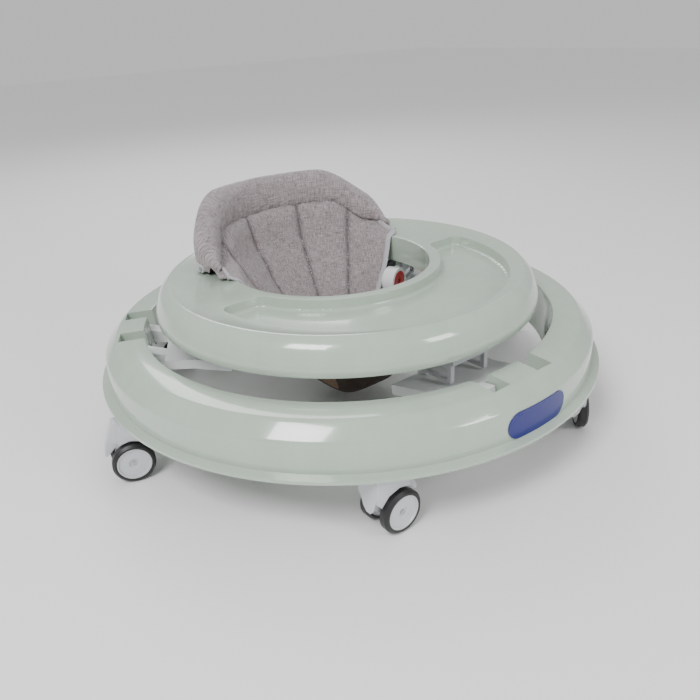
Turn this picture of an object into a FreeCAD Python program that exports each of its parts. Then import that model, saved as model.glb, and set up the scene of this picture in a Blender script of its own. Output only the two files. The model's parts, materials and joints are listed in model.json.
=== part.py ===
import FreeCAD, Part
import Sketcher
import math
import os
import re

# Baby walker: a round base ring on six twin-wheel castors, three hinged leg plates that
# raise a round play tray, a folding backrest and a fabric seat that hangs in the tray's hole.
# Millimetres, +Z up, origin on the floor under the middle of the base ring, front towards -Y.

os.makedirs("parts", exist_ok=True)
doc = FreeCAD.newDocument("baby_walker")
sheet = doc.addObject("Spreadsheet::Sheet", "Sizes")

SIZES = {
    "wall": 3.0,
    "running_gap": 0.06,
    # base ring, heights above the floor
    "base_lip_radius": 355.0,
    "base_lip_z": 84.0,
    "base_bead": 4.0,
    "base_wall_radius": 344.0,
    "base_wall_top": 127.3,
    "base_shoulder_radius": 325.5,
    "base_shoulder_z": 146.0,
    "base_inner_radius": 289.3,
    "base_foot_radius": 283.0,
    "base_top_z": 147.8,
    # wells in the ring for the leg lugs
    "well_near": 24.5,
    "well_far": 52.0,
    "well_end": 320.0,
    "well_floor_z": 102.0,
    # leg hinge and leg plate, measured inwards from the hinge and up from the plate
    "hinge_radius": 303.0,
    "hinge_z": 118.0,
    "hinge_pin_radius": 4.0,
    "hinge_pin_half": 57.0,
    "leg_tilt": 7.0,
    "leg_outer": 41.0,
    "leg_waist": 80.0,
    "leg_inner": 130.0,
    "half_outer": 66.0,
    "half_waist": 62.0,
    "half_inner": 72.0,
    "leg_plate": 4.0,
    "leg_skirt": 9.0,
    "leg_rib": 3.5,
    "lug_near": 27.0,
    "lug_far": 49.5,
    "lug_radius": 12.0,
    "horn_top": 20.0,
    "tip_along": 124.0,
    "tip_up": 23.0,
    "tip_pin_radius": 3.5,
    "tip_pin_half": 37.0,
    "ear_near": 18.0,
    "ear_far": 24.0,
    "ear_half": 9.0,
    # tray
    "tray_lip_radius": 268.3,
    "tray_lip_z": 164.6,
    "tray_bead_radius": 269.6,
    "tray_bead_z": 174.0,
    "tray_shoulder_radius": 260.4,
    "tray_shoulder_z": 197.6,
    "tray_crown_radius": 248.0,
    "tray_crown_z": 208.6,
    "groove_radius": 235.6,
    "plateau_z": 205.2,
    "hole_radius": 144.0,
    "hole_back": 35.0,
    "hole_wall_depth": 40.0,
    "recess_inner": 160.0,
    "recess_outer": 213.0,
    "recess_front": 22.0,
    "recess_end": 15.0,
    "recess_depth": 15.0,
    # slotted guides under the tray
    "cheek_near": 27.0,
    "cheek_far": 33.0,
    "guide_inner": 170.0,
    "guide_outer": 238.0,
    "slot_inner": 172.0,
    "slot_outer": 232.0,
    "slot_under": 4.2,
    "slot_over": 10.0,
    "guide_lip": 4.0,
    "guide_web_z": 142.0,
    "flange_half": 45.0,
    # backrest, on arcs about the middle of the hole
    "frame_outer": 190.0,
    "frame_inner": 186.0,
    "frame_low": 208.0,
    "frame_angle": 62.0,
    "panel_outer": 152.0,
    "panel_inner": 147.0,
    "panel_low": 207.0,
    "panel_angle": 57.0,
    "roll_outer": 193.0,
    "roll_inner": 154.0,
    "roll_angle": 55.0,
    "roll_top": 306.0,
    "roll_end_z": 262.0,
    "seam_z": 251.0,
    "seam_end_z": 222.0,
    "fold_y": 118.0,
    "fold_z": 214.0,
    "fold_pin_radius": 3.0,
    "arm_near": 160.0,
    "arm_far": 166.0,
    "bracket_near": 149.0,
    "bracket_far": 158.0,
    # seat
    "seat_top_z": 204.0,
    "seat_top_radius": 142.0,
    "seat_waist_z": 127.0,
    "seat_waist_radius": 88.0,
    "seat_low_z": 60.0,
    "seat_low_radius": 74.0,
    "seat_bottom_z": 30.0,
    "seat_bottom_radius": 45.0,
    "seat_cloth": 4.0,
    "leg_gap_half": 48.0,
    "leg_gap_z": 62.0,
    "leg_gap_back": 62.0,
    "leg_gap_lean": 15.7,
    # side locks under the hole's edge
    "knob_x": 125.0,
    "knob_y": 36.0,
    "knob_z": 141.0,
    "knob_radius": 21.0,
    "knob_depth": 20.0,
    "knob_turn": 18.0,
    "button_radius": 16.0,
    "button_depth": 9.0,
    "button_proud": 0.5,
    "button_travel": 3.0,
    # castors, measured from the swivel axis and the floor
    "castor_radius": 326.0,
    "tyre_radius": 27.0,
    "tyre_seat": 21.5,
    "wheel_inner": 10.0,
    "wheel_outer": 24.0,
    "trail": 18.0,
    "axle_radius": 3.0,
    "stem_radius": 5.0,
    "stem_top": 114.0,
    "socket_radius": 13.0,
    "hood_half": 8.5,
    "hood_top": 82.0,
    "barrel_low": 58.0,
    # badge on the front wall
    "badge_half": 50.0,
    "badge_radius": 17.0,
    "badge_z": 107.0,
    "badge_thick": 1.2,
}
for row, (alias, value) in enumerate(SIZES.items(), start=1):
    sheet.set("A%d" % row, alias)
    sheet.set("B%d" % row, str(value))
    sheet.setAlias("B%d" % row, alias)
doc.recompute()

FULL_TURN = 360.0
LEG_AZIMUTHS = {"front": -90.0, "rear_left": 150.0, "rear_right": 30.0}
CASTOR_PHASE = -4.0
CASTOR_AZIMUTHS = [-120.0, -60.0, 0.0, 60.0, 120.0, 180.0]
CASTOR_TRAILS = [-1.0, 45.0, 18.0, 20.0, -117.0, 162.0]
ORIGIN_PLANES = {"XY": "XY_Plane", "XZ": "XZ_Plane", "YZ": "YZ_Plane"}
nodes = []


# ---------------------------------------------------------------- helpers

def bound(expression):
    """The expression with each alias written as the document reads it."""
    return re.sub(r"[a-z_]+", lambda word: "Sizes." + word.group()
                  if word.group() in SIZES else word.group(), expression)


def value(expression):
    """The present value of an expression in the sheet's aliases."""
    return float(sheet.evalExpression(bound(expression)))


def place(x=0.0, y=0.0, z=0.0, turn=0.0, axis=(0, 0, 1)):
    return FreeCAD.Placement(FreeCAD.Vector(x, y, z), FreeCAD.Rotation(FreeCAD.Vector(*axis), turn))


def round_ring(azimuth):
    """The turn that carries a piece drawn at the front (-Y) to another azimuth."""
    return place(turn=azimuth + 90.0)


def keep(label, piece, placement=None):
    """Name a finished sub-part, put it in its place and list it as a node."""
    piece.Label = label
    if placement is not None:
        piece.Placement = placement
    nodes.append(piece)
    return piece


def new_body(name):
    return doc.addObject("PartDesign::Body", name)


def new_sketch(body, plane, lift="0"):
    """A sketch on one of the body's own origin planes, lifted along its normal."""
    sketch = body.newObject("Sketcher::SketchObject", body.Name + "_sketch")
    origin = next(f for f in body.Origin.OriginFeatures if f.Role == ORIGIN_PLANES[plane])
    sketch.AttachmentSupport = [(origin, "")]
    sketch.MapMode = "FlatFace"
    if lift != "0":
        sketch.setExpression("AttachmentOffset.Base.z", bound(lift))
    return sketch


def hold(sketch, kind, expression, *spot):
    """One driving constraint whose value is an expression."""
    index = sketch.addConstraint(Sketcher.Constraint(kind, *spot, value(expression)))
    sketch.renameConstraint(index, "held_%d" % index)
    sketch.setExpression("Constraints.held_%d" % index, bound(expression))


def hold_point(sketch, geometry, position, along, across):
    hold(sketch, "DistanceX", along, geometry, position)
    hold(sketch, "DistanceY", across, geometry, position)


def outline(sketch, corners):
    """A closed polygon whose corners are held by expressions."""
    spots = [FreeCAD.Vector(value(along), value(across), 0) for along, across in corners]
    first = sketch.GeometryCount
    for here, there in zip(spots, spots[1:] + spots[:1]):
        sketch.addGeometry(Part.LineSegment(here, there))
    for step in range(len(corners)):
        following = first + (step + 1) % len(corners)
        sketch.addConstraint(Sketcher.Constraint("Coincident", first + step, 2, following, 1))
    for step, (along, across) in enumerate(corners):
        hold_point(sketch, first + step, 1, along, across)
    return sketch


def circle(sketch, along, across, radius):
    """A circle whose centre and radius are held by expressions."""
    centre = FreeCAD.Vector(value(along), value(across), 0)
    index = sketch.addGeometry(Part.Circle(centre, FreeCAD.Vector(0, 0, 1), value(radius)))
    hold_point(sketch, index, 3, along, across)
    hold(sketch, "Radius", radius, index)
    return sketch


def arc(sketch, across, radius, start, end):
    """An arc about a centre on the sketch's vertical axis, between two angles in degrees."""
    ring = Part.Circle(FreeCAD.Vector(0, value(across), 0), FreeCAD.Vector(0, 0, 1), value(radius))
    index = sketch.addGeometry(Part.ArcOfCircle(ring, math.radians(start), math.radians(end)))
    hold_point(sketch, index, 3, "0", across)
    hold(sketch, "Radius", radius, index)
    return index


def join(sketch, first, first_end, second, second_end):
    """A straight edge between the ends of two arcs."""
    a = sketch.getPoint(first, first_end)
    b = sketch.getPoint(second, second_end)
    line = sketch.addGeometry(Part.LineSegment(a, b))
    sketch.addConstraint(Sketcher.Constraint("Coincident", line, 1, first, first_end))
    sketch.addConstraint(Sketcher.Constraint("Coincident", line, 2, second, second_end))
    return line


def pad(body, sketch, length, both_ways=False):
    feature = body.newObject("PartDesign::Pad", body.Name + "_pad")
    feature.Profile = sketch
    feature.Midplane = both_ways
    feature.setExpression("Length", bound(length))
    doc.recompute()
    return feature


def pocket(body, sketch, length, both_ways=False, reverse=False):
    """A pocket, checked to have taken material away."""
    before = body.Shape.Volume
    feature = body.newObject("PartDesign::Pocket", body.Name + "_pocket")
    feature.Profile = sketch
    feature.Midplane = both_ways
    feature.Reversed = reverse
    feature.setExpression("Length", bound(length))
    doc.recompute()
    if feature.Shape.Volume > before - 0.01:
        raise RuntimeError(feature.Name + " cut nothing")
    return feature


def turned(body, kind, sketch):
    """A full Revolution or Groove of a sketch about its vertical axis."""
    before = body.Shape.Volume if kind == "Groove" else None
    feature = body.newObject("PartDesign::" + kind, body.Name + "_" + kind.lower())
    feature.Profile = sketch
    feature.ReferenceAxis = (sketch, ["V_Axis"])
    feature.Angle = FULL_TURN
    doc.recompute()
    if before is not None and feature.Shape.Volume > before - 0.01:
        raise RuntimeError(feature.Name + " cut nothing")
    return feature


def repeat_round(body, feature, count):
    """Repeat the last feature evenly about the vertical axis."""
    axis = next(f for f in body.Origin.OriginFeatures if f.Role == "Z_Axis")
    pattern = body.newObject("PartDesign::PolarPattern", body.Name + "_round")
    pattern.Originals = [feature]
    pattern.Axis = (axis, [""])
    pattern.Angle = FULL_TURN
    pattern.Occurrences = count
    body.Tip = pattern
    doc.recompute()
    return pattern


def on_circle(radius, height, back="0"):
    """A test for edges that lie on a level circle about a point on the Y axis."""
    middle = FreeCAD.Vector(0, value(back), value(height))

    def test(edge):
        spots = edge.discretize(5)
        return all(abs(spot.distanceToPoint(middle) - value(radius)) < 0.02
                   and abs(spot.z - middle.z) < 0.02 for spot in spots)
    return test


def fillet(body, radius, wanted):
    """Round the edges of the body's tip that the test picks."""
    tip = body.Tip
    names = ["Edge%d" % n for n, edge in enumerate(tip.Shape.Edges, start=1) if wanted(edge)]
    if not names:
        raise RuntimeError("no edge to round on " + body.Name)
    feature = body.newObject("PartDesign::Fillet", body.Name + "_fillet")
    feature.Base = (tip, names)
    feature.Radius = radius
    body.Tip = feature
    doc.recompute()
    return feature


def box(name, low, high):
    """A Part box between two corners given as expressions."""
    piece = doc.addObject("Part::Box", name)
    for letter, side, start, end in zip("xyz", ("Length", "Width", "Height"), low, high):
        piece.setExpression("Placement.Base." + letter, bound(start))
        piece.setExpression(side, bound("(%s) - (%s)" % (end, start)))
    return piece


def rod(name, radius, length, base, direction=(0, 0, 1)):
    """A Part cylinder from a base point along a direction."""
    piece = doc.addObject("Part::Cylinder", name)
    piece.setExpression("Radius", bound(radius))
    piece.setExpression("Height", bound(length))
    up = FreeCAD.Vector(0, 0, 1)
    turn = FreeCAD.Rotation(up, FreeCAD.Vector(*direction))
    piece.Placement = FreeCAD.Placement(FreeCAD.Vector(0, 0, 0), turn)
    for letter, start in zip("xyz", base):
        piece.setExpression("Placement.Base." + letter, bound(start))
    return piece


def cut(name, base, tools):
    """The base less all the tools."""
    piece = doc.addObject("Part::Cut", name)
    piece.Base = base
    piece.Tool = tools[0] if len(tools) == 1 else fuse(name + "_tools", tools)
    return piece


def fuse(name, shapes):
    piece = doc.addObject("Part::MultiFuse", name)
    piece.Shapes = shapes
    return piece


def group(name, shapes):
    """Separate solids held as one sub-part."""
    piece = doc.addObject("Part::Compound", name)
    piece.Links = shapes
    return piece


# ---------------------------------------------------------------- base ring

def shoulder_curve():
    """The rounded turn from the ring's wall up to its slope, then from the slope to its top."""
    lower = [(0, -3.7), (-0.31, -1.36), (-1.21, 0.81), (-2.59, 2.63)]
    upper = [(2.46, -2.49), (0.72, -1.12), (-1.31, -0.21), (-3.5, 0.17)]
    return ([("base_wall_radius + %g" % out, "base_wall_top + %g" % up) for out, up in lower]
            + [("base_shoulder_radius + %g" % out, "base_shoulder_z + %g" % up) for out, up in upper])


def inner_edge_curve():
    """The small rounding at the top of the ring's inner wall."""
    return [("base_inner_radius + %g" % out, "base_top_z + %g" % up)
            for out, up in [(2.0, -0.1), (0.6, -0.5), (-0.2, -1.9)]]


def base_ring():
    """A hollow moulded ring, open below, with three pairs of wells and six castor sockets."""
    body = new_body("base_ring")
    turned(body, "Revolution", outline(new_sketch(body, "XZ"), [
        ("base_foot_radius", "base_lip_z"),
        ("base_lip_radius", "base_lip_z"),
        ("base_lip_radius", "base_lip_z + base_bead"),
        ("base_wall_radius", "base_lip_z + base_bead + 2"),
    ] + shoulder_curve() + inner_edge_curve()))
    turned(body, "Groove", outline(new_sketch(body, "XZ"), [
        ("base_foot_radius + wall", "base_lip_z - 1"),
        ("base_wall_radius - wall", "base_lip_z - 1"),
        ("base_wall_radius - wall", "base_wall_top - 1.3"),
        ("base_shoulder_radius - 1.3", "base_shoulder_z - wall"),
        ("base_inner_radius + wall", "base_top_z - wall"),
    ]))
    blocks = pad(body, outline(new_sketch(body, "XY", "well_floor_z - wall"), [
        ("-well_far - wall", "-well_end - wall"),
        ("well_far + wall", "-well_end - wall"),
        ("well_far + wall", "-base_foot_radius"),
        ("-well_far - wall", "-base_foot_radius"),
    ]), "base_shoulder_z - well_floor_z + 2")
    repeat_round(body, blocks, len(LEG_AZIMUTHS))
    turn = CASTOR_AZIMUTHS[0] + CASTOR_PHASE
    sockets = pad(body, circle(new_sketch(body, "XY", "base_lip_z"),
                               "castor_radius * cos(%g)" % turn,
                               "castor_radius * sin(%g)" % turn,
                               "socket_radius"), "base_shoulder_z - base_lip_z - 2")
    repeat_round(body, sockets, len(CASTOR_AZIMUTHS))
    turned(body, "Groove", outline(new_sketch(body, "XZ"), [
        ("base_shoulder_radius", "base_top_z + 10"),
        ("base_wall_radius + 20", "base_top_z + 10"),
        ("base_wall_radius + 20", "base_wall_top - 3.7"),
    ] + shoulder_curve()[:-1]))
    turned(body, "Groove", outline(new_sketch(body, "XZ"), [
        ("base_foot_radius - 20", "base_lip_z"),
        ("base_foot_radius", "base_lip_z"),
    ] + inner_edge_curve()[::-1] + shoulder_curve()[-2:][::-1] + [
        ("base_shoulder_radius - 1", "base_top_z + 10"),
        ("base_foot_radius - 20", "base_top_z + 10"),
    ]))
    wells = new_sketch(body, "XY", "well_floor_z")
    for near, far in (("well_near", "well_far"), ("-well_far", "-well_near")):
        outline(wells, [
            (near, "-well_end"),
            (far, "-well_end"),
            (far, "-base_foot_radius + 10"),
            (near, "-base_foot_radius + 10"),
        ])
    repeat_round(body, pocket(body, wells, "base_top_z", reverse=True), len(LEG_AZIMUTHS))
    bores = circle(new_sketch(body, "YZ"), "-hinge_radius", "hinge_z", "hinge_pin_radius + 0.02")
    repeat_round(body, pocket(body, bores, "2 * hinge_pin_half + 1", both_ways=True), len(LEG_AZIMUTHS))
    stems = circle(new_sketch(body, "XY", "base_lip_z"),
                   "castor_radius * cos(%g)" % turn,
                   "castor_radius * sin(%g)" % turn,
                   "stem_radius + running_gap")
    repeat_round(body, pocket(body, stems, "stem_top - base_lip_z + 1", reverse=True), len(CASTOR_AZIMUTHS))
    keep("base_ring", body)


def badge():
    """A blank plate with round ends, curved to lie on the ring's front wall."""
    shell = cut("badge_shell",
                rod("badge_outside", "base_wall_radius + badge_thick", "3 * badge_radius",
                    ("0", "0", "badge_z - 1.5 * badge_radius")),
                [rod("badge_inside", "base_wall_radius + 0.3", "4 * badge_radius",
                     ("0", "0", "badge_z - 2 * badge_radius"))])
    ends = [rod("badge_end_" + side, "badge_radius", "base_wall_radius",
                (sign + "(badge_half - badge_radius)", "0", "badge_z"), (0, -1, 0))
            for side, sign in (("left", "-"), ("right", ""))]
    for end in ends:
        end.setExpression("Height", bound("base_wall_radius + 10"))
    middle = box("badge_middle",
                 ("badge_radius - badge_half", "-base_wall_radius - 10", "badge_z - badge_radius"),
                 ("badge_half - badge_radius", "0", "badge_z + badge_radius"))
    piece = doc.addObject("Part::MultiCommon", "badge")
    piece.Shapes = [shell, fuse("badge_outline", ends + [middle])]
    keep("front_badge", piece)


# ---------------------------------------------------------------- legs

def leg(name, azimuth):
    """One hinged plate: a skirted plate, two lugs for the ring's wells and two ears at its tip."""
    body = new_body("leg_" + name)
    plate = [
        ("-half_outer", "leg_outer"),
        ("half_outer", "leg_outer"),
        ("half_waist", "leg_waist"),
        ("half_inner", "leg_inner"),
        ("-half_inner", "leg_inner"),
        ("-half_waist", "leg_waist"),
    ]
    inside = [
        ("-half_outer + leg_rib", "leg_outer + leg_rib"),
        ("half_outer - leg_rib", "leg_outer + leg_rib"),
        ("half_waist - leg_rib", "leg_waist"),
        ("half_inner - leg_rib", "leg_inner - leg_rib"),
        ("-half_inner + leg_rib", "leg_inner - leg_rib"),
        ("-half_waist + leg_rib", "leg_waist"),
    ]
    pad(body, outline(new_sketch(body, "XY", "-leg_skirt"), plate), "leg_skirt + leg_plate")
    pocket(body, outline(new_sketch(body, "XY", "-leg_skirt"), inside), "leg_skirt", reverse=True)
    arm = [
        ("-4", "-lug_radius + 0.8"),
        ("leg_outer + 6", "-leg_skirt"),
        ("leg_outer + 6", "leg_plate"),
        ("0", "lug_radius"),
    ]
    ear = [
        ("tip_along - ear_half", "leg_plate - 1"),
        ("tip_along + ear_half", "leg_plate - 1"),
        ("tip_along + 0.7 * ear_half", "tip_up + 0.7 * ear_half"),
        ("tip_along - 0.7 * ear_half", "tip_up + 0.7 * ear_half"),
    ]
    for start, width, ear_start in (("lug_near", "lug_far - lug_near", "ear_near"),
                                    ("-lug_far", "lug_far - lug_near", "-ear_far")):
        pad(body, outline(new_sketch(body, "YZ", start), arm), width)
        pad(body, circle(new_sketch(body, "YZ", start), "0", "0", "lug_radius"), width)
        pad(body, outline(new_sketch(body, "YZ", ear_start), ear), "ear_far - ear_near")
    if name == "front":
        pad(body, outline(new_sketch(body, "YZ", "-lug_far"), [
            ("-1", "lug_radius - 2"),
            ("34", "2"),
            ("24", "horn_top - 2"),
            ("18", "horn_top"),
            ("0", "horn_top"),
        ]), "lug_far - lug_near")
    pocket(body, circle(new_sketch(body, "YZ"), "0", "0", "hinge_pin_radius + running_gap"),
           "3 * lug_far", both_ways=True)
    pocket(body, circle(new_sketch(body, "YZ"), "tip_along", "tip_up", "tip_pin_radius"),
           "3 * ear_far", both_ways=True)
    hinge = place(0, -value("hinge_radius"), value("hinge_z"), -value("leg_tilt"), (1, 0, 0))
    seat = round_ring(azimuth).multiply(hinge)
    keep("leg_" + name, body, seat)
    pin = group("leg_tip_" + name, [rod("tip_rod_" + name, "tip_pin_radius", "2 * tip_pin_half",
                                        ("-tip_pin_half", "tip_along", "tip_up"), (1, 0, 0))])
    keep("leg_tip_pin_" + name, pin, seat)


def hinge_pins():
    """The three steel pins that the leg plates turn on."""
    pins = []
    for name, azimuth in LEG_AZIMUTHS.items():
        pin = rod("hinge_rod_" + name, "hinge_pin_radius", "2 * hinge_pin_half",
                  ("-hinge_pin_half", "-hinge_radius", "hinge_z"), (1, 0, 0))
        turned_pin = group("hinge_pin_" + name, [pin])
        turned_pin.Placement = round_ring(azimuth)
        pins.append(turned_pin)
    keep("leg_hinge_pins", group("hinge_pins", pins))


# ---------------------------------------------------------------- tray

def kidney(sketch, grow):
    """The recess outline: it wraps round the front of the hole, between two arcs."""
    outer = "recess_outer + " + grow
    inner = "recess_inner - " + grow
    end = "-recess_end + " + grow
    reach = value(outer)
    near = value(inner)
    end_y = value(end)
    lean = math.degrees(math.asin((end_y + value("recess_front")) / reach))
    dip = math.degrees(math.asin((end_y - value("hole_back")) / near))
    big = arc(sketch, "-recess_front", outer, 180.0 - lean, FULL_TURN + lean)
    small = arc(sketch, "hole_back", inner, 180.0 - dip, FULL_TURN + dip)
    for end_point in (1, 2):
        line = join(sketch, big, end_point, small, end_point)
        sketch.addConstraint(Sketcher.Constraint("Horizontal", line))
        hold(sketch, "DistanceY", end, line, 1)
    return sketch


def tray():
    """The play tray: a thin shell with a rolled rim, a walled hole and a recess at the front."""
    body = new_body("tray")
    turned(body, "Revolution", outline(new_sketch(body, "XZ"), [
        ("tray_lip_radius - wall", "tray_lip_z"),
        ("tray_lip_radius", "tray_lip_z"),
        ("tray_bead_radius", "tray_bead_z"),
        ("tray_shoulder_radius", "tray_shoulder_z"),
        ("tray_crown_radius", "tray_crown_z"),
        ("groove_radius", "plateau_z"),
        ("0", "plateau_z"),
        ("0", "plateau_z - wall"),
        ("groove_radius + 0.4", "plateau_z - wall"),
        ("tray_crown_radius - 1", "tray_crown_z - 3.3"),
        ("tray_shoulder_radius - 2.6", "tray_shoulder_z - 1.6"),
        ("tray_bead_radius - wall", "tray_bead_z"),
    ]))
    fillet(body, 24.0, on_circle("tray_bead_radius", "tray_bead_z"))
    fillet(body, 28.0, on_circle("tray_shoulder_radius", "tray_shoulder_z"))
    fillet(body, 7.0, on_circle("tray_crown_radius", "tray_crown_z"))
    pad(body, circle(new_sketch(body, "XY", "plateau_z - hole_wall_depth"),
                     "0", "hole_back", "hole_radius + wall"), "hole_wall_depth - 1")
    pad(body, kidney(new_sketch(body, "XY", "plateau_z - recess_depth - wall"), "wall"), "recess_depth")
    pocket(body, circle(new_sketch(body, "XY", "plateau_z + 5"), "0", "hole_back", "hole_radius"),
           "3 * hole_wall_depth")
    pocket(body, kidney(new_sketch(body, "XY", "plateau_z + 5"), "0"), "recess_depth + 5")
    floor_z = value("plateau_z - recess_depth")
    end_y = -value("recess_end")
    fillet(body, 13.0, lambda edge: abs(edge.Length - value("recess_depth")) < 0.01
           and edge.BoundBox.ZLength > edge.Length - 0.01 and abs(edge.CenterOfMass.y - end_y) < 1.0)
    fillet(body, 5.0, lambda edge: edge.BoundBox.ZLength < 0.01 and edge.BoundBox.YMax < end_y + 0.1
           and abs(edge.CenterOfMass.z - floor_z) < 0.01)
    fillet(body, 2.0, on_circle("hole_radius", "plateau_z", "hole_back"))
    keep("tray", body)


def guide(name, azimuth):
    """A slotted bracket under the tray that a leg's tip pin slides in."""
    tip_z = "(hinge_z - tip_along * sin(leg_tilt) + tip_up * cos(leg_tilt))"
    ceiling = "(plateau_z - wall)" if name != "front" else "(plateau_z - recess_depth - wall)"
    cheeks = []
    slots = []
    for side, near, far in (("right", "cheek_near", "cheek_far"), ("left", "-cheek_far", "-cheek_near")):
        cheeks.append(box("cheek_%s_%s" % (name, side),
                          (near, "-guide_outer", tip_z + " - slot_under - guide_lip"),
                          (far, "-guide_inner", ceiling)))
        slots.append(box("slot_%s_%s" % (name, side),
                         (near + " - 1", "-slot_outer", tip_z + " - slot_under"),
                         (far + " + 1", "-slot_inner", tip_z + " + slot_over")))
    web = box("web_" + name, ("-cheek_far", "-guide_outer - wall", "guide_web_z"),
              ("cheek_far", "-guide_outer", ceiling))
    flange = box("flange_" + name, ("-flange_half", "-guide_outer + 3", ceiling + " - wall"),
                 ("flange_half", "-guide_inner - 3", ceiling))
    piece = cut("guide_" + name, fuse("guide_solid_" + name, cheeks + [web, flange]), slots)
    keep("leg_guide_" + name, piece, round_ring(azimuth))


def guide_screws():
    """Two screws through each guide's flange, seen from below as pan heads."""
    screws = []
    for name, azimuth in LEG_AZIMUTHS.items():
        ceiling = "plateau_z - 2 * wall" if name != "front" else "plateau_z - recess_depth - 2 * wall"
        pair = group("screw_pair_" + name, [
            rod("screw_%s_%d" % (name, number), "3.5", "2.2", (sign + "39", "-204", ceiling + " - 2.2"))
            for number, sign in enumerate(("", "-"))])
        pair.Placement = round_ring(azimuth)
        screws.append(pair)
    keep("guide_screws", group("guide_screw_group", screws))


# ---------------------------------------------------------------- backrest

def sector(body, inner, outer, angle, low, height):
    """A pad of a band about the hole's centre, to each side of the back by an angle."""
    sketch = new_sketch(body, "XY", low)
    half = value(angle)
    band = arc(sketch, "hole_back", outer, 90.0 - half, 90.0 + half)
    core = arc(sketch, "hole_back", inner, 90.0 - half, 90.0 + half)
    for end_point, sign in ((1, ""), (2, "-")):
        join(sketch, band, end_point, core, end_point)
        hold(sketch, "DistanceX", "%s(%s) * sin(%s)" % (sign, outer, angle), band, end_point)
        hold(sketch, "DistanceX", "%s(%s) * sin(%s)" % (sign, inner, angle), core, end_point)
    return pad(body, sketch, height)


def trim(body, corners):
    """Cut a front-view outline away, right through the band, on the right and on the left."""
    sketch = new_sketch(body, "XZ")
    for sign in ("", "-"):
        outline(sketch, [(sign + "(%s)" % along, up) for along, up in corners])
    return pocket(body, sketch, "6 * frame_outer", both_ways=True)


def backrest():
    """A moulded band hinged at its ends, a quilted panel in front and a padded roll on top."""
    body = new_body("backrest_frame")
    sector(body, "frame_inner", "frame_outer", "frame_angle", "frame_low", "seam_z - frame_low - 0.5")
    trim(body, [("105", "seam_z - 0.5"), ("140", "seam_end_z - 0.5"), ("frame_outer", "seam_end_z - 0.5"),
                ("frame_outer", "seam_z + 5"), ("105", "seam_z + 5")])
    for start in ("arm_near", "-arm_far"):
        pad(body, outline(new_sketch(body, "YZ", start), [
            ("fold_y", "fold_z - 6"),
            ("fold_y + 18", "fold_z - 6"),
            ("fold_y + 18", "fold_z + 7"),
            ("fold_y", "fold_z + 6"),
        ]), "arm_far - arm_near")
        pad(body, circle(new_sketch(body, "YZ", start), "fold_y", "fold_z", "6"), "arm_far - arm_near")
    pocket(body, circle(new_sketch(body, "YZ"), "fold_y", "fold_z", "fold_pin_radius + running_gap"),
           "4 * arm_far", both_ways=True)
    keep("backrest_frame", body)

    panel = new_body("back_panel")
    sector(panel, "panel_inner", "panel_outer", "panel_angle", "panel_low", "seam_z - panel_low - 0.5")
    trim(panel, [("105", "seam_z - 0.5"), ("140", "seam_end_z - 0.5"), ("frame_outer", "seam_end_z - 0.5"),
                 ("frame_outer", "seam_z + 5"), ("105", "seam_z + 5")])
    keep("back_panel", panel)

    roll = new_body("back_roll")
    sector(roll, "roll_inner", "roll_outer", "roll_angle", "seam_end_z", "roll_top - seam_end_z")
    bottom = outline(new_sketch(roll, "XZ"), [
        ("-140", "seam_end_z - 5"), ("-140", "seam_end_z"), ("-105", "seam_z"),
        ("105", "seam_z"), ("140", "seam_end_z"), ("140", "seam_end_z - 5"),
    ])
    pocket(roll, bottom, "6 * frame_outer", both_ways=True)
    trim(roll, [("85", "roll_top"), ("125", "roll_top - 14"), ("frame_outer", "roll_end_z - 16"),
                ("frame_outer", "roll_top + 5"), ("85", "roll_top + 5")])
    keep("back_roll", roll)


def hinge_brackets():
    """Black lugs on the tray that carry the backrest's hinge pins."""
    for side, near, far in (("right", "bracket_near", "bracket_far"),
                            ("left", "-bracket_far", "-bracket_near")):
        eye = rod("eye_" + side, "7.5", "bracket_far - bracket_near", (near, "fold_y", "fold_z"), (1, 0, 0))
        foot = box("foot_" + side, (near, "fold_y - 7.5", "plateau_z + 0.1"), (far, "fold_y + 7.5", "fold_z"))
        bore = rod("bore_" + side, "fold_pin_radius", "bracket_far - bracket_near + 2",
                   (near + " - 1", "fold_y", "fold_z"), (1, 0, 0))
        keep("hinge_bracket_" + side, cut("bracket_" + side, fuse("bracket_solid_" + side, [eye, foot]), [bore]))
    pins = [rod("fold_pin_" + side, "fold_pin_radius", "arm_far - bracket_near + 2",
                (start, "fold_y", "fold_z"), (1, 0, 0))
            for side, start in (("right", "bracket_near"), ("left", "-arm_far - 2"))]
    keep("backrest_pins", group("fold_pins", pins))


# ---------------------------------------------------------------- seat

def seat_loft(name, inset, top, bottom):
    """A bag that narrows downwards, as a loft through four circles."""
    rings = []
    levels = [(top, "seat_top_radius", "hole_back"), ("seat_waist_z", "seat_waist_radius", "hole_back - 3"),
              ("seat_low_z", "seat_low_radius", "hole_back - 27"),
              (bottom, "seat_bottom_radius", "hole_back - 43")]
    for number, (height, radius, middle) in enumerate(levels):
        ring = doc.addObject("Part::Circle", "%s_ring%d" % (name, number))
        ring.setExpression("Radius", bound("%s - %s" % (radius, inset)))
        ring.setExpression("Placement.Base.y", bound(middle))
        ring.setExpression("Placement.Base.z", bound(height))
        rings.append(ring)
    loft = doc.addObject("Part::Loft", name)
    loft.Sections = rings
    loft.Solid = True
    loft.Ruled = True
    return loft


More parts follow.
